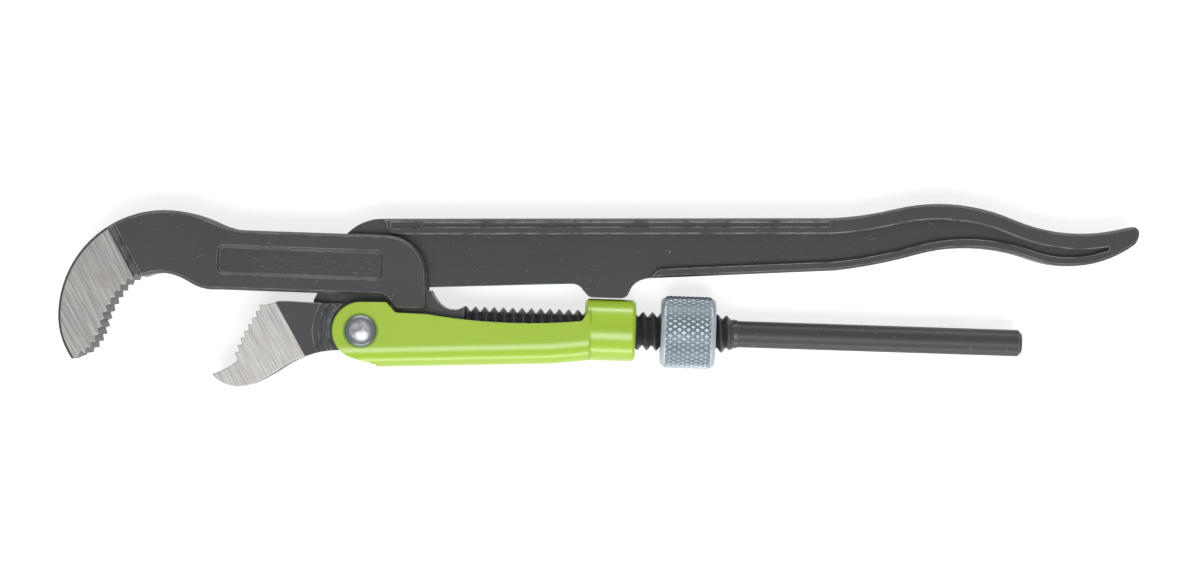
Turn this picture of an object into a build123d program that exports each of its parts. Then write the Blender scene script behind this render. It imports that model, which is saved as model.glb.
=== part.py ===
from build123d import *
import os

# Offset pipe wrench, lying flat: X along the threaded rod, Z through the thickness, in mm.
# The outlines are drawn around the rivet and moved once, at the end.

# Thicknesses of the forgings and the sheet
jaw_thickness = 15.0
edge_bevel = 0.7
slot_width = 8.4
slot_play = 0.2
web_thickness = 5.6
flange_thickness = 10.0
flange_height = 4.2
sheet = 2.9
bend_r = 6.0
channel_inside = 11.4
channel_play = 0.3
eye_play = 0.2
crescent_setback = 0.4

# Rivet and rod
rivet_r = 3.5
rivet_play = 0.06
rivet_head_r = 4.3
rivet_head_h = 1.7
rivet_dome_h = 1.2
rod_y = 2.3
thread_r = 5.4
thread_depth = 1.5
thread_start = 28.4
thread_end = 104.4
rod_r = 3.7
rod_end = 183.8

# Adjusting nut
nut_r = 10.1
nut_length = 15.2
nut_x = 83.1
nut_chamfer = 1.5
nut_play = 0.15

# Collar at the end of the bracket
collar_x = 61.9
collar_length = 14.2
collar_play = 0.2

# Window between the cheeks, and the core that joins them below
window_left = -47.5
core_left = 8.3
slot_floor = 11.7

# Teeth
tooth_pitch = 2.2
tooth_depth = 1.1

nose_thickness = slot_width - 2 * slot_play
eye_thickness = channel_inside - 2 * eye_play
core_thickness = channel_inside - 2 * channel_play
bracket_outside = channel_inside + 2 * sheet
collar_r = bracket_outside / 2
core_bottom = rod_y - thread_r


def ring(*edges):
    # A closed outline, filled
    return make_face(Wire([edge for piece in edges for edge in piece.edges()]))


def bends(heading, *points):
    # A run of arcs through the points, each tangent to the one before, starting at a heading in degrees
    direction = Vector(1, 0).rotate(Axis.Z, heading)
    arcs = []
    for start, end in zip(points, points[1:]):
        arcs.append(TangentArc(start, end, tangent=direction))
        direction = arcs[-1] % 1
    return Curve(arcs)


def rounded(face, corner, radius):
    # One corner of an outline, rounded
    return fillet(face.vertices().sort_by_distance((corner[0], corner[1], 0))[0], radius)


def slab(face, thickness):
    # The same thickness above and below the middle plane
    return extrude(face, thickness / 2, both=True)


def rod_along_x(radius, x0, x1, y=rod_y):
    return Pos((x0 + x1) / 2, y, 0) * Rot(0, 90, 0) * Cylinder(radius, x1 - x0)


def toothed(path, inward):
    # Saw teeth along a curve: tips on the curve, roots set back from it
    count = round(path.length / tooth_pitch)
    points = []
    for i in range(count):
        tangent = path % (i / count)
        root = Vector(-tangent.Y, tangent.X) * (tooth_depth * inward)
        points.append(path @ (i / count) + root)
        points.append(path @ ((i + 0.62) / count))
    return points + [path @ 1]


# Hook leg: the curved hook
hook_teeth = Spline(
    (-62.4, 12.6), (-65.8, 10.2), (-68.6, 6.3), (-70.7, 2.0), (-72.0, -2.6),
    (-74.2, -7.0), (-78.9, -9.8),
)
hook_back = bends(126.6, (-79.8, -10.4), (-84.0, 2.7), (-69.8, 27.4), (-45.9, 30.4), (-40.8, 28.5),
                  (-32.0, 26.75))
throat = bends(186.8, (-40.0, 10.1), (-47.6, 11.7), (-50.6, 13.2), (-61.2, 13.0))
tooth_points = toothed(hook_teeth, -1)
hook = ring(
    hook_back,
    Polyline((-32.0, 26.75), (-32.0, 10.1), (-40.0, 10.1)),
    throat,
    Polyline([(-61.2, 13.0)] + [(p.X, p.Y) for p in tooth_points] + [(-79.8, -10.4)]),
)

# Hook leg: the shank with its rounded rear corner and foot
shank = make_face(Polyline((-34.0, 26.75), (-34.0, 10.1), (6.0, 9.95), (9.6, 6.1), (18.3, 6.2),
                           (17.0, 26.65), close=True))
shank = rounded(shank, (17.0, 26.65), 11.5)
shank = rounded(shank, (6.0, 9.95), 3.0)
shank = rounded(shank, (9.6, 6.1), 1.6)
shank = rounded(shank, (18.3, 6.2), 1.6)

# Soft forged bevels run round both outlines, but not along the teeth
hook_leg = None
for outline, joint_x in ((hook, -32.0), (shank, -34.0)):
    solid = slab(outline, jaw_thickness)
    rim = solid.edges().filter_by(lambda e: abs(abs(e.center().Z) - jaw_thickness / 2) < 0.01)
    rim = rim.filter_by(lambda e: abs(e.center().X - joint_x) > 0.1)
    rim = rim.filter_by(lambda e: e.geom_type == GeomType.CIRCLE or e.center().X > -40)
    solid = chamfer(rim, edge_bevel)
    hook_leg = solid if hook_leg is None else hook_leg + solid

# The core fills the channel and carries the rod
core = ring(
    Polyline((19.0, slot_floor), (core_left, slot_floor), (core_left, core_bottom),
             (thread_start, core_bottom), (thread_start, rod_y + thread_r)),
    Spline((thread_start, rod_y + thread_r), (25.5, 6.6), (22.1, 7.6), (20.2, 9.6), (19.0, slot_floor)),
)
window = Pos(window_left + 50, 20, 0) * Box(100, 60, slot_width)
window = fillet(window.edges().filter_by(Axis.Y).group_by(Axis.X)[0], 2.0)
hook_leg = hook_leg - window
core_solid = slab(core, core_thickness)
low_edges = core_solid.edges().filter_by(Axis.X).group_by(Axis.Y)[0]
core_solid = fillet(low_edges, bend_r - sheet)
hook_leg = hook_leg + core_solid
foot = ring(Polyline((core_left, slot_floor), (core_left, 8.0), (10.5, 6.3), (17.0, 6.3),
                     (17.4, slot_floor), (core_left, slot_floor)))
hook_leg = hook_leg + slab(foot, jaw_thickness - 2)
hook_leg = hook_leg + rod_along_x(thread_r - thread_depth, thread_start - 1, thread_end)
rod = rod_along_x(rod_r, thread_end - 1, rod_end)
rod = chamfer(rod.edges().sort_by(Axis.X)[-1], 1.0)
hook_leg = hook_leg + rod

# A double groove parts the ground jaw from the forging, and a shallow panel lies on each cheek
groove = Pos(-66.75, 19.37, 0) * Rot(0, 0, -60.2) * Box(24, 0.7, 1.0)
groove_2 = Pos(-65.45, 20.11, 0) * Rot(0, 0, -60.2) * Box(24, 0.7, 1.0)
panel = Rot(180, 0, 0) * extrude(RectangleRounded(46.2, 8.3, 2.0), 0.6, taper=52)
for side, turn in ((1, 0), (-1, 180)):
    face_z = side * jaw_thickness / 2
    hook_leg = hook_leg - Pos(0, 0, face_z) * groove - Pos(0, 0, face_z) * groove_2
    hook_leg = hook_leg - Pos(-17.4, 18.3, face_z) * Rot(turn, 0, -0.4 * side) * panel

# Handle leg: the long upper handle and the neck between the cheeks
top_wave = bends(4.1, (129.1, 35.4), (147.1, 38.5), (179.8, 36.7), (206.8, 34.2), (212.9, 35.6))
bottom_wave = bends(218.5, (214.0, 30.8), (185.5, 25.7), (153.0, 25.9), (131.0, 20.9))
tip = bends(14.6, (212.9, 35.6), (215.1, 33.8), (214.0, 30.8))
handle = ring(
    Line((-13.6, 8.0), (-4.8, 26.9)),
    ThreePointArc((-4.8, 26.9), (-1.1, 29.7), (3.9, 31.2)),
    Line((3.9, 31.2), (129.1, 35.4)),
    top_wave,
    tip,
    bottom_wave,
    Line((131.0, 20.9), (81.5, 17.25)),
    Spline((81.5, 17.25), (77.0, 16.4), (74.5, 14.2), (71.2, 11.2), tangents=[(-1, -0.06), (-1, 0)]),
    Line((71.2, 11.2), (64.0, 11.2)),
    Spline((64.0, 11.2), (61.9, 12.3), (60.3, 14.1), (57.0, 14.8), tangents=[(-1, 0), (-1, -0.06)]),
    Polyline((57.0, 14.8), (8.0, 12.0), (7.9, 9.4), (6.6, 0), (0, 0), (-13.6, 0), (-13.6, 8.0)),
)
handle_leg = slab(handle, flange_thickness)
flat_edges = handle_leg.edges().filter_by(lambda e: abs(abs(e.center().Z) - flange_thickness / 2) < 0.01)
handle_leg = chamfer(flat_edges.filter_by(lambda e: e.center().X > -5), 0.6)

# The nose and the neck are thinner behind an S-shaped step, to run between the cheeks
rib_line = Line((9.5, 31.4 - flange_height), (129.1, 35.4 - flange_height))
nose = ring(
    Polyline(rib_line @ 0, (9.5, -1.0), (-20.0, -1.0), (-20.0, 36.0), (5.0, 36.0), (5.6, 31.0)),
    Spline((5.6, 31.0), (6.2, 29.4), (7.0, 27.9), rib_line @ 0),
)

# The sides are sunk between an upper rib and, further back, a lower rib
rib_top = Pos(0, -flange_height) * bends(4.1, (129.1, 35.4), (147.1, 38.5), (179.8, 36.7), (206.8, 34.2))
rib_low = Pos(0, 2.4) * bends(202.6, (206.7, 26.5), (185.5, 25.7), (153.0, 25.9), (131.0, 20.9))
sunk = ring(
    Spline((6.0, 25.0), (7.0, 26.3), rib_line @ 0, tangents=[(0, 1), (1, 0.034)]),
    rib_line,
    rib_top,
    Line(rib_top @ 1, rib_low @ 0),
    rib_low,
    Line((131.0, 23.3), (84.0, 19.8)),
    Spline((84.0, 19.8), (81.0, 18.6), (79.0, 14.0), tangents=[(-1, -0.074), (-0.4, -1)]),
    Polyline((79.0, 14.0), (79.0, 10.0), (6.0, 10.0), (6.0, 25.0)),
)

# A small pocket and a long groove lie in the upper rib
pocket = Pos(11.3, 29.6) * Rot(0, 0, 1.9) * RectangleRounded(8.0, 1.9, 0.6)
groove_line = Pos(72.7, 31.75) * Rot(0, 0, 1.92) * Rectangle(113.0, 1.3)
for shape, level in ((nose, nose_thickness), (sunk, web_thickness),
                     (pocket, flange_thickness - 1), (groove_line, flange_thickness - 1)):
    handle_leg = handle_leg - Pos(0, 0, level / 2) * extrude(shape, 3)
    handle_leg = handle_leg - Pos(0, 0, -level / 2 - 3) * extrude(shape, 3)

# Handle leg: the lower jaw, stepped down around the rivet so that the bracket fits over the eye
jaw_teeth = Spline((-27.3, 5.9), (-29.0, 2.6), (-31.2, -1.4), (-33.0, -5.6), (-34.0, -9.6))
jaw_points = toothed(jaw_teeth, -1)
jaw = ring(
    Polyline([(-25.6, 6.6)] + [(p.X, p.Y) for p in jaw_points]),
    Spline((-34.0, -9.6), (-36.6, -11.4), (-40.8, -13.3)),
    bends(-48.9, (-40.8, -13.3), (-29.5, -15.7), (-21.9, -11.2), (-4.0, -5.7)),
    Polyline((-4.0, -5.7), (-1.5, 7.3), (-15.8, 7.3), (-22.9, 7.5), (-25.6, 6.6)),
)
jaw_solid = slab(jaw, jaw_thickness)
for side in (1, -1):
    jaw_solid = jaw_solid - Pos(0, 0, side * (eye_thickness / 2 + 3)) * Cylinder(9.0, 6)
    jaw_solid = jaw_solid - Pos(0, 0, side * (jaw_thickness / 2 + 0.1)) * Cylinder(13.4, 2)
    jaw_solid = jaw_solid - Pos(0, 0, side * (jaw_thickness / 2 - 0.4)) * Cylinder(11.8, 2)

# A crescent rib stands in each step, set back a little from the jaw's side
crescent = SlotArc(CenterArc((0, 0), 10.1, 141, 70), 1.4)
jaw_solid = jaw_solid + slab(crescent, jaw_thickness - 2 * crescent_setback)
handle_leg = handle_leg + jaw_solid + Cylinder(6.9, eye_thickness)
handle_leg = handle_leg - Cylinder(rivet_r + rivet_play, 40)

# Link bracket: a folded channel around the eye and the core, ending in a collar
bottom_line = [(63.5, -6.3), (53.0, -7.6), (5.0, -10.0)]
side_plate = ring(
    ThreePointArc((-2.6, -7.5), (-7.9, -0.3), (-0.4, 7.95)),
    Polyline((-0.4, 7.95), (6.6, 8.1), (7.1, 7.9), (9.3, 5.5), (9.9, 5.3), (18.0, 5.15)),
    ThreePointArc((18.0, 5.15), (44.0, 3.5), (61.0, 4.6)),
    Polyline((61.0, 4.6), (63.5, 8.0), *bottom_line, (2.4, -8.7)),
    Spline((2.4, -8.7), (0.1, -8.3), (-2.6, -7.5), tangents=[(-1, 0.2), (-1, 0.4)]),
)
bracket = slab(side_plate, bracket_outside)
low_edges = bracket.edges().filter_by(lambda e: e.center().Y < -6.5 and e.length > 10)
bracket = fillet(low_edges.filter_by(lambda e: abs(e.center().Z) > 1 and e.center().X > 5), bend_r)
inside = ring(
    Polyline((-20, 20), (63.5, 20), *[(x, y + sheet) for x, y in bottom_line],
             (3.5, -12.0), (-20, -12.0), (-20, 20)),
)
inside_solid = slab(inside, channel_inside)
low_edges = inside_solid.edges().filter_by(lambda e: -8 < e.center().Y < -3 and e.length > 10)
inside_solid = fillet(low_edges.filter_by(lambda e: abs(e.center().Z) > 1 and e.center().X > 5),
                      bend_r - sheet)
bracket = bracket - inside_solid
collar = rod_along_x(collar_r, collar_x, collar_x + collar_length)
collar = chamfer(collar.edges().filter_by(GeomType.CIRCLE), 0.8)
bracket = bracket + collar
bracket = bracket - rod_along_x(thread_r + collar_play, collar_x - 6, collar_x + collar_length + 1)
link_bracket = bracket - Cylinder(rivet_r, 40)

# Pivot rivet: a shank with a domed head on each side
head_z = bracket_outside / 2
dome_r = (rivet_head_r**2 + rivet_dome_h**2) / (2 * rivet_dome_h)
head = Pos(0, 0, rivet_head_h / 2) * Cylinder(rivet_head_r, rivet_head_h)
head = head & Pos(0, 0, rivet_head_h - dome_r) * Sphere(dome_r)
pivot_rivet = Cylinder(rivet_r, bracket_outside) + Pos(0, 0, head_z) * head
pivot_rivet = pivot_rivet + Pos(0, 0, -head_z) * Rot(180, 0, 0) * head

# Adjusting nut: a chamfered barrel with a countersunk thread
nut = rod_along_x(nut_r, nut_x, nut_x + nut_length)
nut = chamfer(nut.edges().filter_by(GeomType.CIRCLE), nut_chamfer)
nut_bore = rod_along_x(thread_r + nut_play, nut_x - 1, nut_x + nut_length + 1)
adjusting_nut = nut - nut_bore
adjusting_nut = chamfer(adjusting_nut.edges().filter_by(
    lambda e: e.geom_type == GeomType.CIRCLE and e.radius < thread_r + 1), 0.9)

parts = {
    "hook_leg": hook_leg,
    "handle_leg": handle_leg,
    "link_bracket": link_bracket,
    "pivot_rivet": pivot_rivet,
    "adjusting_nut": adjusting_nut,
}
box = Compound(list(parts.values())).bounding_box()
shift = Pos(-(box.min.X + box.max.X) / 2, -(box.min.Y + box.max.Y) / 2, -box.min.Z)
os.makedirs("parts", exist_ok=True)
for name, shape in parts.items():
    export_step(shift * shape, f"parts/{name}.step")
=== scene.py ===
# %% [markdown]
# # An offset pipe wrench
# The wrench has two forged legs. One ends in the curved hook and a threaded rod, the other in
# the long handle and the lower jaw. A folded bracket, a rivet and a knurled nut hold them together.
# The solid shapes come from the CAD frame, already in place and in metres. This file dresses them:
# it adds the thread, the knurl and the rivet's heads, and gives every surface its finish.

# %% Load the frame
import bpy
import bmesh
import math
import numpy as np
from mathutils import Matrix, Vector


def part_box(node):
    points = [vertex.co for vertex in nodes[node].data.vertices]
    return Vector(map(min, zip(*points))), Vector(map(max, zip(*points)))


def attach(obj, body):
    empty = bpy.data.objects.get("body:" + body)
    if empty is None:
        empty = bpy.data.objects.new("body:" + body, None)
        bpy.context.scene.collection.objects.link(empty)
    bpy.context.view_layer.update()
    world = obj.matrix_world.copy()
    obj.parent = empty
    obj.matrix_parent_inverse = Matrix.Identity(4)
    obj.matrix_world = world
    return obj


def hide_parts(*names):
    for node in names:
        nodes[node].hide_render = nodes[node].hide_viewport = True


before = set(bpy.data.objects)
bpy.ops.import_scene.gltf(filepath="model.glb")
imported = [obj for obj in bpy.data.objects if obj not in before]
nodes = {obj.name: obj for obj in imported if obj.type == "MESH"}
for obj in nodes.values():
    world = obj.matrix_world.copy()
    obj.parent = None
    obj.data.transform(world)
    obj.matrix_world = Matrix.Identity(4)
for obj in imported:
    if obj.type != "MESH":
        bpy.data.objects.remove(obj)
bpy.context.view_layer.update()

# %% [markdown]
# ## Where things are
# Every piece is placed from the frame itself. The rivet's box gives the pivot, and the nut's box
# gives the line of the rod, so nothing is typed twice and a change in the CAD is followed here.

# %% Axes read from the frame
mm = 0.001
rivet_low, rivet_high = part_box("pivot_rivet")
pivot = (rivet_low + rivet_high) / 2
nut_low, nut_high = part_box("adjusting_nut")
rod = (nut_low + nut_high) / 2
nut_r = (nut_high.z - nut_low.z) / 2
print("pivot", tuple(round(v / mm, 2) for v in pivot), "rod", tuple(round(v / mm, 2) for v in rod))

# %% [markdown]
# ## Surfaces from numbers
# A turned part is a grid of points: one direction goes along the profile, the other round the
# axis. It could be spun in the viewport, but a formula is exact, and it makes a knurl or a thread
# by letting the radius depend on both directions. The points are computed as one array.

# %% Grid of points to mesh
def grid_mesh(name, points, loop=False, around=True):
    """Mesh from points[i, j]: j closes on itself when around is true, and i when loop is true.
    Points that fall together are merged, which closes poles and the seam of a helix."""
    rows, cols = points.shape[:2]
    i, j = np.meshgrid(np.arange(rows if loop else rows - 1),
                       np.arange(cols if around else cols - 1), indexing="ij")
    up, right = (i + 1) % rows, (j + 1) % cols
    faces = np.stack([i * cols + j, i * cols + right, up * cols + right, up * cols + j], -1)
    mesh = bpy.data.meshes.new(name)
    mesh.from_pydata(points.reshape(-1, 3), [], faces.reshape(-1, 4).tolist())
    work = bmesh.new()
    work.from_mesh(mesh)
    bmesh.ops.remove_doubles(work, verts=work.verts, dist=2e-6)
    bmesh.ops.dissolve_degenerate(work, edges=work.edges, dist=1e-6)
    bmesh.ops.recalc_face_normals(work, faces=work.faces)
    work.to_mesh(mesh)
    work.free()
    piece = bpy.data.objects.new(name, mesh)
    bpy.context.collection.objects.link(piece)
    print(name, len(mesh.vertices), "points", len(mesh.polygons), "faces")
    return piece


def smooth(piece, degrees):
    """Shades the piece smooth, and keeps edges sharper than the angle crisp."""
    mesh = piece.data
    mesh.polygons.foreach_set("use_smooth", np.ones(len(mesh.polygons), dtype=bool))
    mesh.set_sharp_from_angle(angle=math.radians(degrees))


def along_x(x, r, turn, centre):
    """Points at radius r and angle turn about a line along X through centre."""
    x, r, turn = np.broadcast_arrays(x, r, turn)
    return np.stack([x, centre.y + r * np.cos(turn), centre.z + r * np.sin(turn)], -1)

# %% [markdown]
# ## The knurled nut
# The nut is turned from bar, and two wheels roll a diamond pattern into it, so that oily fingers
# can turn it. A bump map would give a smooth outline, so the diamonds are real here: the height is
# the lower of two saw waves that run round the nut in opposite helices, which leaves pyramids.

# %% Make the nut
knurls = 38
knurl_rows = 5
knurl_depth = 0.5 * mm
knurl_blunt = 1.3
samples = 8
bore_r = 5.5 * mm
sink_r = 7.6 * mm
bevel = 1.3 * mm
nut_length = nut_high.x - nut_low.x
knurl_step = (nut_length - 2 * bevel) / knurl_rows


def fold(t):
    """Triangle wave: 0 at whole numbers, 1 halfway between."""
    return 1 - np.abs(2 * (t % 1.0) - 1)


def knurled_nut():
    """Closed profile (bore, countersink, end face, bevel, knurled band and back) turned about X.
    In the band r = nut_r - depth * (1 - min(1, blunt * fold(a), blunt * fold(b))), with a and b
    along two helices. The points lie at eighths of a diamond both ways, so its ridges fall on them."""
    turn = np.arange(knurls * samples) * (2 * math.pi / (knurls * samples))
    band = bevel + knurl_step * np.arange(1, knurl_rows * samples) / samples
    end_x = np.array([0.9, 0.0, 0.0, 0.25, 1.1, 1.3]) * mm
    end_r = np.array([bore_r, 0.5 * (bore_r + sink_r), nut_r - bevel, nut_r - 0.95 * mm,
                      nut_r - 0.35 * mm, nut_r - 0.3 * mm])
    x = np.concatenate([end_x, band, nut_length - end_x[::-1]])[:, None]
    r = np.concatenate([end_r, np.full(band.size, nut_r), end_r[::-1]])[:, None]
    rolled = (r == nut_r)
    share = turn * knurls / (2 * math.pi)
    along = (x - bevel) / knurl_step
    height = np.minimum(fold(share + along), fold(share - along))
    radius = r - knurl_depth * rolled * (1 - np.minimum(height * knurl_blunt, 1))
    return along_x(nut_low.x + x, radius, turn, rod)


nut = grid_mesh("knurled_nut", knurled_nut(), loop=True)
smooth(nut, 24)

# %% [markdown]
# ## The thread
# The rod's thread is cut to a V, with its crests a little blunted. The CAD keeps a plain core of
# the root size. Here a sleeve round it carries the ridges. The grid follows the helix: each column
# is shifted along the rod by its share of the pitch, so every valley is a clean line.

# %% Make the thread
pitch = 2.6 * mm
crest_r = 5.4 * mm
root_r = 3.93 * mm
crest_blunt = 1.12
run_out = 1.6 * pitch
thread_from = pivot.x + 27.4 * mm
thread_to = pivot.x + 104.5 * mm


def thread():
    """Grid over s, the place along the helix in pitches, and turn, the angle about the rod, with
    x = from + pitch * (s + turn / full turn) and
    r = root + (crest - root) * min(1, blunt * fold(s)).
    In each column s stops where x reaches either end, and the ridge sinks into the rod over the
    last turns. A row on the axis closes each end. The last column is the first one a pitch on."""
    columns, steps = 48, 10
    turns = (thread_to - thread_from) / pitch
    turn = np.linspace(0, 2 * math.pi, columns + 1)
    share = turn / (2 * math.pi)
    s = np.arange(-steps, steps * math.ceil(turns) + 1)[:, None] / steps
    s = np.clip(s, -share, turns - share)
    x = thread_from + pitch * (s + share)
    fade = np.clip((thread_to - x) / run_out, 0, 1)
    ridge = (crest_r - root_r) * np.minimum(1, crest_blunt * fold(s))
    radius = root_r + ridge * fade * fade * (3 - 2 * fade)
    x = np.concatenate([x[:1], x, x[-1:]])
    radius = np.concatenate([0 * radius[:1], radius, 0 * radius[-1:]])
    return along_x(x, radius, turn, rod)


sleeve = grid_mesh("rod_thread", thread(), around=False)
smooth(sleeve, 30)

# %% [markdown]
# ## The rivet
# The rivet is set by a press: a low dome, a rolled rim and a slight dent where the tool stood.
# It is one turned profile from pole to pole, so both heads and the shank are one closed piece.

# %% Make the rivet
def rivet_points():
    """Profile (r, z) of head, shank and second head, turned about Z."""
    half = (rivet_high.z - rivet_low.z) / 2
    columns = 72
    share = np.linspace(0, 1, 12)
    dome_r = share * 3.3 * mm
    dome_z = half - 0.75 * mm * share ** 2
    rim_r = np.array([3.75, 4.1, 4.28, 4.3, 4.25, 3.5, 3.5]) * mm
    rim_z = half - np.array([1.0, 1.22, 1.45, 1.6, 1.72, 1.72, 9.0]) * mm
    r = np.concatenate([dome_r, rim_r])
    z = np.concatenate([dome_z, rim_z])
    r, z = np.concatenate([r, r[::-1]]), np.concatenate([z, -z[::-1]])
    turn = np.arange(columns) * (2 * math.pi / columns)
    return np.stack([
        pivot.x + r[:, None] * np.cos(turn), pivot.y + r[:, None] * np.sin(turn),
        pivot.z + z[:, None] + 0 * turn], -1)


rivet = grid_mesh("rivet_heads", rivet_points())
smooth(rivet, 40)

# %% [markdown]
# ## Hanging the pieces on the mechanism
# Each new piece rides on the body that carries it, and the nut and the rivet stand for the plain
# CAD solids of the same name. The sleeve goes over the rod's core, which stays.

# %% Ride and replace
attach(nut, "adjusting_nut")
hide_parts("adjusting_nut")
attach(sleeve, "hook_leg")
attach(rivet, "link_bracket")
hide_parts("pivot_rivet")
print("added pieces:", [piece.name for piece in (nut, sleeve, rivet)])

# %% [markdown]
# ## A short hand for nodes
# Finishes are procedural: noise, lines and masks worked out from the place on the object, with no
# picture. Object coordinates are metres in the frame, so a noise scale of 1000 gives marks of about
# a millimetre. The small class below only shortens the making of nodes.

# %% Node helper
def shade(red, green, blue):
    """Screen colour 0-255 to the linear colour that a shader takes."""
    c = np.array([red, green, blue]) / 255
    linear = np.where(c <= 0.04045, c / 12.92, ((c + 0.055) / 1.055) ** 2.4)
    return (*linear.tolist(), 1.0)


class Finish:
    """A material, with one short method for each kind of node that the finishes use."""

    def __init__(self, name, **sockets):
        self.material = bpy.data.materials.new(name)
        self.material.use_nodes = True
        self.tree = self.material.node_tree
        self.shader = self.tree.nodes["Principled BSDF"]
        source = self.tree.nodes.new("ShaderNodeTexCoord")
        self.place, self.facing = source.outputs["Object"], source.outputs["Normal"]
        self.set(self.shader, sockets)

    def set(self, node, values):
        for key, value in values.items():
            socket = node.inputs[key.replace("_", " ") if isinstance(key, str) else key]
            if isinstance(value, bpy.types.NodeSocket):
                self.tree.links.new(value, socket)
            else:
                socket.default_value = value

    def node(self, kind, values, out=0, **settings):
        made = self.tree.nodes.new("ShaderNode" + kind)
        for key, value in settings.items():
            setattr(made, key, value)
        self.set(made, values)
        return made.outputs[out]

    def math(self, operation, a, b=0.0):
        return self.node("Math", {0: a, 1: b}, operation=operation)

    def part(self, axis, vector=None):
        return self.node("SeparateXYZ", {0: vector or self.place}, out="XYZ".index(axis))

    def step(self, value, start, end):
        return self.node("MapRange", {0: value, 1: start, 2: end}, interpolation_type="SMOOTHSTEP")

    def noise(self, scale, detail=3.0):
        return self.node("TexNoise", {"Vector": self.place, "Scale": scale, "Detail": detail})

    def streaks(self, length, width, detail=3.0, turn=0.0):
        """Noise drawn out along a direction, with marks of that length and width in metres."""
        where = self.node("Mapping", {"Vector": self.place, "Rotation": (0, 0, turn),
                                      "Scale": (length, width, width)}, vector_type="TEXTURE")
        return self.node("TexNoise", {"Vector": where, "Scale": 1.0, "Detail": detail})

    def mix(self, share, a, b):
        return self.node("Mix", {0: share, 6: a, 7: b}, out=2, data_type="RGBA")

    def fade(self, share, a, b):
        return self.node("Mix", {0: share, 2: a, 3: b}, data_type="FLOAT")

    def side(self, start, end):
        """Distance in metres to the left of the line from start to end, seen from above."""
        along = (Vector(end) - Vector(start)).normalized()
        left = Vector((along.y, -along.x, 0))
        dot = self.node("VectorMath", {0: self.place, 1: left}, out=1, operation="DOT_PRODUCT")
        return self.math("SUBTRACT", dot, Vector((*start, 0)).dot(left))

    def near(self, axis, centre, outer, inner):
        """1 closer than inner to a centre along an axis, and 0 farther than outer, in metres."""
        away = self.math("ABSOLUTE", self.math("SUBTRACT", self.part(axis), centre))
        return self.step(away, outer, inner)

    def radius(self, centre, plane):
        """Distance in metres from a centre, measured in a plane such as XY."""
        keep = [1.0 if axis in plane else 0.0 for axis in "XYZ"]
        across = self.node("VectorMath", {0: self.place, 1: keep}, operation="MULTIPLY")
        middle = [c * k for c, k in zip(centre, keep)]
        return self.node("VectorMath", {0: across, 1: middle}, out=1, operation="DISTANCE")

    def soft_edge(self, radius):
        """Normal that rounds the edges by a radius in metres, and how far it leans there, 0 to 1."""
        rounded = self.node("Bevel", {"Radius": radius}, samples=6)
        true_normal = self.node("NewGeometry", {}, out="True Normal")
        dot = self.node("VectorMath", {0: rounded, 1: true_normal}, out=1, operation="DOT_PRODUCT")
        return rounded, self.step(dot, 0.985, 0.9)

    def bump(self, height, depth, strength=1.0, normal=None):
        values = {"Height": height, "Distance": depth, "Strength": strength}
        if normal:
            values["Normal"] = normal
        return self.node("Bump", values)


print("screen grey 128 is", round(shade(128, 128, 128)[0], 3), "in linear light")

# %% [markdown]
# ## Where the legs are ground
# Both legs are drop forged and powder coated in a satin anthracite. After coating the jaws are
# ground flat, which leaves bare steel on the two faces, up to a straight border. Such a mask could
# be painted, but here it is worked out, so it stays sharp: from the distance to the border, and
# from how far the surface looks up or down. The teeth lie beyond the border and look sideways.
# The sunk panel on the shank gets a mask too, because a forging is rough where no tool cleans it.

# %% Masks on the legs
panel_x, panel_y = -17.4, 18.3


def on_plan(x, y):
    """A place given from the rivet, in mm, as a place in the frame."""
    return (pivot.x + x * mm, pivot.y + y * mm)


def jaw_masks(f, start, end):
    """Shares of the flat faces, of those beyond the line from start to end, and of the rest there."""
    level = f.math("ABSOLUTE", f.part("Z", f.facing))
    flat = f.step(level, 0.88, 0.97)
    beyond = f.step(f.side(start, end), 0.0, 0.25 * mm)
    ground = f.math("MULTIPLY", flat, beyond)
    return flat, ground, f.math("SUBTRACT", beyond, ground)


def panel_mask(f, flat):
    """Share of the panel's ground: near its centre both ways, on a flat face."""
    x, y = on_plan(panel_x, panel_y)
    inside = f.math("MULTIPLY", f.near("X", x, 22.3 * mm, 21.8 * mm),
                    f.near("Y", y, 3.5 * mm, 3.1 * mm))
    return f.math("MULTIPLY", inside, flat)


print("panel centre in mm:", [round(v / mm, 2) for v in on_plan(panel_x, panel_y)])

# %% [markdown]
# ## The coat and the bare steel
# A powder coat is never one grey: it varies softly, has small specks and scuffs, and is thin along
# the edges, where the steel shines through. The light edge colour is partly this wear and partly a
# painted highlight along every edge. The edges are found by the Bevel node, which compares a rounded
# normal with the true one. The ground steel has fine lines along the border: noise that is stretched
# in their direction, in two widths. The tooth flanks are brownish oxide.

# %% Colours of coat, steel and oxide
def coat_colour(f, patch, edge):
    """Two close greys by patch, then specks, scuffs and light edges over them: partly wear, partly
    painted highlight.
    """
    specks = f.step(f.noise(900, 2), 0.69, 0.76)
    scuffs = f.step(f.streaks(0.006, 0.0022, 6), 0.66, 0.74)
    # lighter edges: partly worn coat, partly a painted highlight
    wear_and_painted_highlight = f.math("MULTIPLY", edge, f.step(f.noise(240, 4), 0.3, 0.6))
    coat = f.mix(patch, shade(46, 49, 51), shade(58, 61, 62))
    coat = f.mix(f.math("MULTIPLY", specks, 0.5), coat, shade(132, 136, 136))
    coat = f.mix(f.math("MULTIPLY", scuffs, 0.3), coat, shade(108, 112, 112))
    return f.mix(f.math("MULTIPLY", wear_and_painted_highlight, 0.85), coat, shade(184, 188, 188))


def grinding_lines(f, lean):
    """Noise along the lean angle: 0.7 of coarse lines and 0.3 of fine ones."""
    coarse = f.streaks(0.012, 0.0003, 4, lean)
    fine = f.streaks(0.004, 0.00012, 2, lean)
    return f.math("ADD", f.math("MULTIPLY", coarse, 0.7), f.math("MULTIPLY", fine, 0.3))


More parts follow.
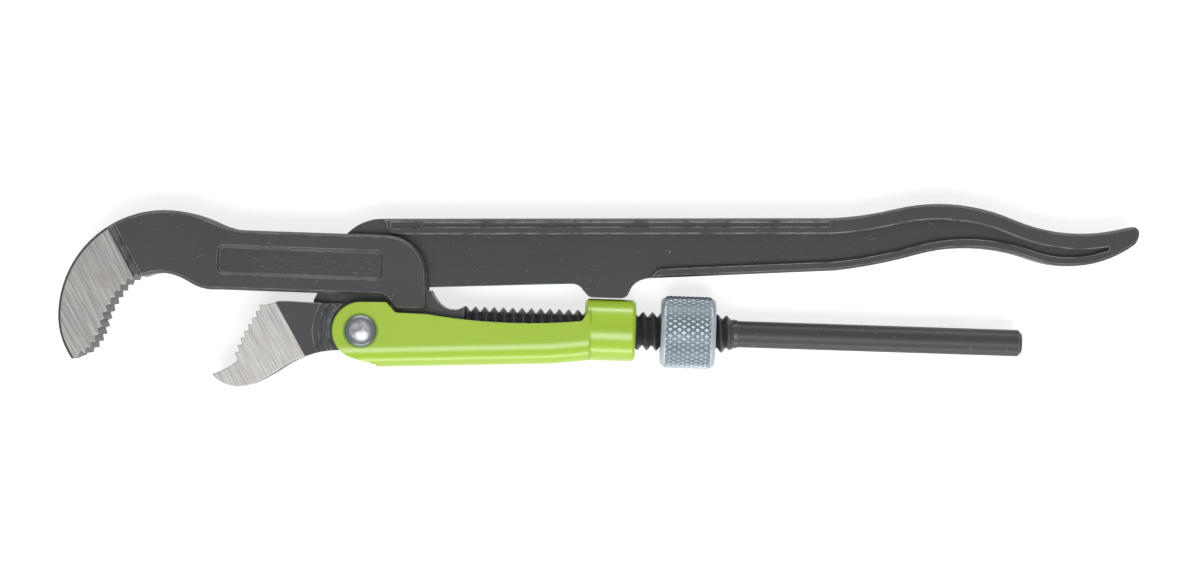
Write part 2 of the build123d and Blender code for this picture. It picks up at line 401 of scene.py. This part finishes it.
def steel_colour(f, lines, tone):
    """Dark to light along the lines, with warm clouds, all brightened by tone."""
    dark, light, cloud = (shade(*[v + tone for v in grey])
                          for grey in ((134, 132, 131), (180, 178, 175), (150, 146, 141)))
    steel = f.mix(f.step(lines, 0.3, 0.7), dark, light)
    return f.mix(f.step(f.noise(90, 3), 0.45, 0.8), steel, cloud)


print("coat from", [round(v, 3) for v in shade(46, 49, 51)[:3]])

# %% [markdown]
# ## Forged finish
# One material does the whole leg, so that the border between coat and steel needs no cut in the
# mesh. The masks choose colour, metal, gloss and relief. The steel's tone is given for each leg:
# the hook's is set darker than the jaw's.

# %% Forged legs
def forged(name, start, end, tone):
    """Coat up to the border from start to end, and steel and oxide beyond it."""
    f = Finish(name, Specular_IOR_Level=0.4)
    flat, ground, flank = jaw_masks(f, start, end)
    panel = panel_mask(f, flat)
    rounded, edge = f.soft_edge(0.42 * mm)
    patch, grain, cast = f.noise(60, 4), f.noise(2600, 3), f.noise(900, 3)
    lines = grinding_lines(f, math.atan2(end[1] - start[1], end[0] - start[0]))

    oxide = f.mix(f.noise(700, 3), shade(46, 45, 44), shade(84, 82, 80))
    colour = f.mix(flank, coat_colour(f, patch, edge), oxide)
    height = f.fade(panel, f.fade(patch, grain, 0.5), cast)
    depth = f.fade(panel, 0.05 * mm, 0.25 * mm)
    f.set(f.shader, {
        "Base Color": f.mix(ground, colour, steel_colour(f, lines, tone)),
        "Metallic": f.fade(ground, f.math("MULTIPLY", flank, 0.6), 0.75),
        "Roughness": f.fade(ground, f.fade(grain, 0.38, 0.5), f.fade(lines, 0.34, 0.46)),
        "Normal": f.bump(f.fade(ground, height, lines), depth, 0.5, rounded),
    })
    return f.material


hook_border = on_plan(-71.0, 26.1), on_plan(-63.1, 12.3)
handle_border = on_plan(-23.2, 6.3), on_plan(-15.2, -7.3)
hook_steel = forged("forged_hook", *hook_border, -14)
handle_steel = forged("forged_handle", *handle_border, 5)
print("forged finishes:", hook_steel.name, handle_steel.name)

# %% [markdown]
# ## The black thread
# A cut thread isn't coated, or the nut would scrape it off. It is blackened in a bath and oiled,
# so it is nearly black with a soft shine that changes from patch to patch.

# %% Black oxide
def black_oxide():
    """Dark greys and gloss by one noise, over a fine grain."""
    f = Finish("black_thread", Metallic=0.5)
    patch = f.noise(500, 4)
    f.set(f.shader, {
        "Base Color": f.mix(patch, shade(48, 49, 52), shade(82, 84, 87)),
        "Roughness": f.fade(patch, 0.3, 0.45),
        "Normal": f.bump(f.noise(2400, 2), 0.03 * mm, 0.4),
    })
    return f.material


thread_black = black_oxide()
print("thread finish:", thread_black.name)

# %% [markdown]
# ## The green paint
# The bracket is folded sheet with a glossy lime green paint. A clear coat over the colour gives it
# a second, sharper shine. Paint can't hold a sharp edge, so the normal is rounded widely. A darker
# green ring round the rivet's head is a painted shadow.

# %% Lime paint
def lime_paint():
    """Green by cloud, with pale scuffs, and a painted shadow: a dark ring round the rivet's head."""
    f = Finish("lime_paint", Coat_Weight=0.35, Coat_Roughness=0.16)
    # painted shadow: a darker green ring round the rivet's head
    painted_shadow_ring = f.math("SUBTRACT", 1.0, f.step(f.radius(pivot, "XY"), 4.4 * mm, 5.3 * mm))
    rounded = f.soft_edge(0.9 * mm)[0]
    cloud = f.noise(45, 3)
    colour = f.mix(cloud, shade(158, 192, 34), shade(168, 201, 46))
    marks = f.step(f.streaks(0.003, 0.0014, 4), 0.72, 0.8)
    colour = f.mix(f.math("MULTIPLY", marks, 0.35), colour, shade(205, 225, 130))
    f.set(f.shader, {
        "Base Color": f.mix(painted_shadow_ring, colour, shade(86, 128, 26)),
        "Roughness": f.fade(cloud, 0.24, 0.34),
        "Normal": f.bump(f.noise(520, 2), 0.04 * mm, 0.25, rounded),
    })
    return f.material


bracket_green = lime_paint()
print("bracket finish:", bracket_green.name)

# %% [markdown]
# ## The rivet and the nut
# The rivet is bright steel, a little dented by the press and darker on its rolled rim. The nut is
# zinc plated, which gives a bluish grey, and its colour is darker in the valleys of its knurl. Both
# darker places are found by their distance from the axis of the turned piece.

# %% Bright steel and zinc
def bright_steel():
    """Steel by a noise of dents, fading to a darker grey over the rim."""
    f = Finish("bright_rivet", Metallic=1.0)
    dents = f.noise(800, 3)
    rim = f.step(f.radius(pivot, "XY"), 2.3 * mm, 3.4 * mm)
    head = f.mix(f.step(dents, 0.3, 0.7), shade(138, 141, 146), shade(178, 180, 184))
    f.set(f.shader, {
        "Base Color": f.mix(rim, head, shade(112, 115, 120)),
        "Roughness": f.fade(dents, 0.26, 0.4),
        "Normal": f.bump(dents, 0.05 * mm, 0.25),
    })
    return f.material


def zinc():
    """Bluish plate by cloud, darker where the radius is below the knurl's tips."""
    f = Finish("zinc_plate", Metallic=0.85)
    cloud, grain = f.noise(260, 4), f.noise(3000, 2)
    valley = f.step(f.radius(rod, "YZ"), nut_r - 0.12 * mm, nut_r - 0.42 * mm)
    band = f.near("X", rod.x, 6.3 * mm, 6.2 * mm)
    valley_darkening = f.math("MULTIPLY", f.math("MULTIPLY", valley, band), 0.75)
    plate = f.mix(cloud, shade(150, 160, 168), shade(196, 205, 211))
    f.set(f.shader, {
        "Base Color": f.mix(valley_darkening, plate, shade(84, 92, 98)),
        "Roughness": f.fade(grain, 0.36, 0.52),
        "Normal": f.bump(grain, 0.02 * mm, 0.3),
    })
    return f.material


rivet_bright = bright_steel()
nut_zinc = zinc()
print("turned finishes:", rivet_bright.name, nut_zinc.name)

# %% [markdown]
# ## Dressing the pieces
# A CAD node comes with plain materials in its slots. Each slot gets the finish, so nothing plain
# shows through. The solids that the nut and the rivet stand for are dressed like them.

# %% Dress
def dress(piece, material):
    """One material on the whole piece, whatever slots it came with."""
    if not piece.material_slots:
        piece.data.materials.append(material)
    for spot in piece.material_slots:
        spot.material = material


finishes = {
    nodes["hook_leg"]: hook_steel, nodes["handle_leg"]: handle_steel,
    nodes["link_bracket"]: bracket_green, sleeve: thread_black,
    nodes["pivot_rivet"]: rivet_bright, rivet: rivet_bright,
    nodes["adjusting_nut"]: nut_zinc, nut: nut_zinc,
}
for piece, material in finishes.items():
    dress(piece, material)
print("dressed:", len(finishes), "pieces")

# %% [markdown]
# ## Floor and light
# A catalogue picture hides its table: the sheet below is white and the light comes from all round.
# The floor reflects a plain amount of light and adds a little of its own for camera and mirror rays
# only, so the page is white, the shadow stays and the wrench isn't lit from below.

# %% Floor
def seen_share(tree):
    """1 for camera, mirror and clear rays and 0 for the others, so that only those see the page."""
    path = tree.nodes.new("ShaderNodeLightPath")
    share = path.outputs["Is Camera Ray"]
    for ray in ("Is Glossy Ray", "Is Transmission Ray"):
        either = tree.nodes.new("ShaderNodeMath")
        either.operation = "MAXIMUM"
        tree.links.new(share, either.inputs[0])
        tree.links.new(path.outputs[ray], either.inputs[1])
        share = either.outputs[0]
    return share


def scaled(tree, share, low, high):
    """A strength that goes from low to high as the share goes from 0 to 1."""
    change = tree.nodes.new("ShaderNodeMapRange")
    change.inputs["To Min"].default_value, change.inputs["To Max"].default_value = low, high
    tree.links.new(share, change.inputs["Value"])
    return change.outputs[0]


def floor_material():
    material = bpy.data.materials.new("white_sheet")
    material.use_nodes = True
    tree = material.node_tree
    tree.nodes.clear()
    diffuse, glow = tree.nodes.new("ShaderNodeBsdfDiffuse"), tree.nodes.new("ShaderNodeEmission")
    total, out = tree.nodes.new("ShaderNodeAddShader"), tree.nodes.new("ShaderNodeOutputMaterial")
    diffuse.inputs["Color"].default_value = (0.65, 0.65, 0.65, 1)
    tree.links.new(scaled(tree, seen_share(tree), 0.0, 0.66), glow.inputs["Strength"])
    tree.links.new(diffuse.outputs[0], total.inputs[0])
    tree.links.new(glow.outputs[0], total.inputs[1])
    tree.links.new(total.outputs[0], out.inputs["Surface"])
    return material


half = 6.0
corners = np.array([(-half, -half, 0), (half, -half, 0), (half, half, 0), (-half, half, 0)])
sheet_mesh = bpy.data.meshes.new("floor")
sheet_mesh.from_pydata(corners + (0, 0, -0.0001), [], [(0, 1, 2, 3)])
floor = bpy.data.objects.new("floor", sheet_mesh)
bpy.context.collection.objects.link(floor)
floor.data.materials.append(floor_material())
print("floor", 2 * half, "m wide")

# %% [markdown]
# ## Light
# One wide box hangs above and in front, as in a product booth. It gives the flat faces an even
# grey, a bright line along every edge that looks to the front and a dark one behind the ribs.
# Two low strips, in front and behind, only graze the flat faces but catch the bevels. The world
# fills in the rest.

# %% Light
world = bpy.data.worlds.new("studio")
bpy.context.scene.world = world
world.use_nodes = True
sky = world.node_tree.nodes["Background"]
sky.inputs["Color"].default_value = (1, 1, 1, 1)
world.node_tree.links.new(scaled(world.node_tree, seen_share(world.node_tree), 0.32, 0.87),
                          sky.inputs["Strength"])


def softbox(name, place, target, width, depth, power):
    """A rectangular lamp at a place in metres, turned to face the target."""
    lamp = bpy.data.lights.new(name, "AREA")
    lamp.shape = "RECTANGLE"
    lamp.size, lamp.size_y, lamp.energy = width, depth, power
    holder = bpy.data.objects.new(name, lamp)
    holder.location = place
    holder.rotation_euler = (Vector(target) - Vector(place)).to_track_quat("-Z", "Y").to_euler()
    bpy.context.collection.objects.link(holder)
    print(name, power, "W")


softbox("top_box", (0.0, -0.5, 1.2), (0, 0, 0), 0.9, 0.5, 9.0)
softbox("front_strip", (0.0, -0.75, 0.12), (0, 0, 0.01), 1.0, 0.16, 3.2)
softbox("rear_strip", (0.0, 0.75, 0.13), (0, 0, 0.01), 1.0, 0.14, 4.0)

# %% [markdown]
# ## Camera
# The picture looks straight down on the wrench, and the rod falls a little to the right, so the
# camera is turned by that angle about the vertical. A long lens from nearly a metre keeps the
# sides of the legs out of view, as in the photograph.

# %% Place the camera
middle = (rivet_low.z + rivet_high.z) / 2
distance = 0.9
picture_width = 0.335
eye = bpy.data.cameras.new("camera")
eye.sensor_width = 36
eye.lens = 36 * distance / picture_width
camera = bpy.data.objects.new("camera", eye)
camera.location = (0.0003, 0.0015, middle + distance)
camera.rotation_euler = (0, 0, math.radians(1.85))
bpy.context.collection.objects.link(camera)
bpy.context.scene.camera = camera
bpy.context.scene.view_settings.view_transform = "Standard"
print("lens", round(eye.lens, 1), "mm")
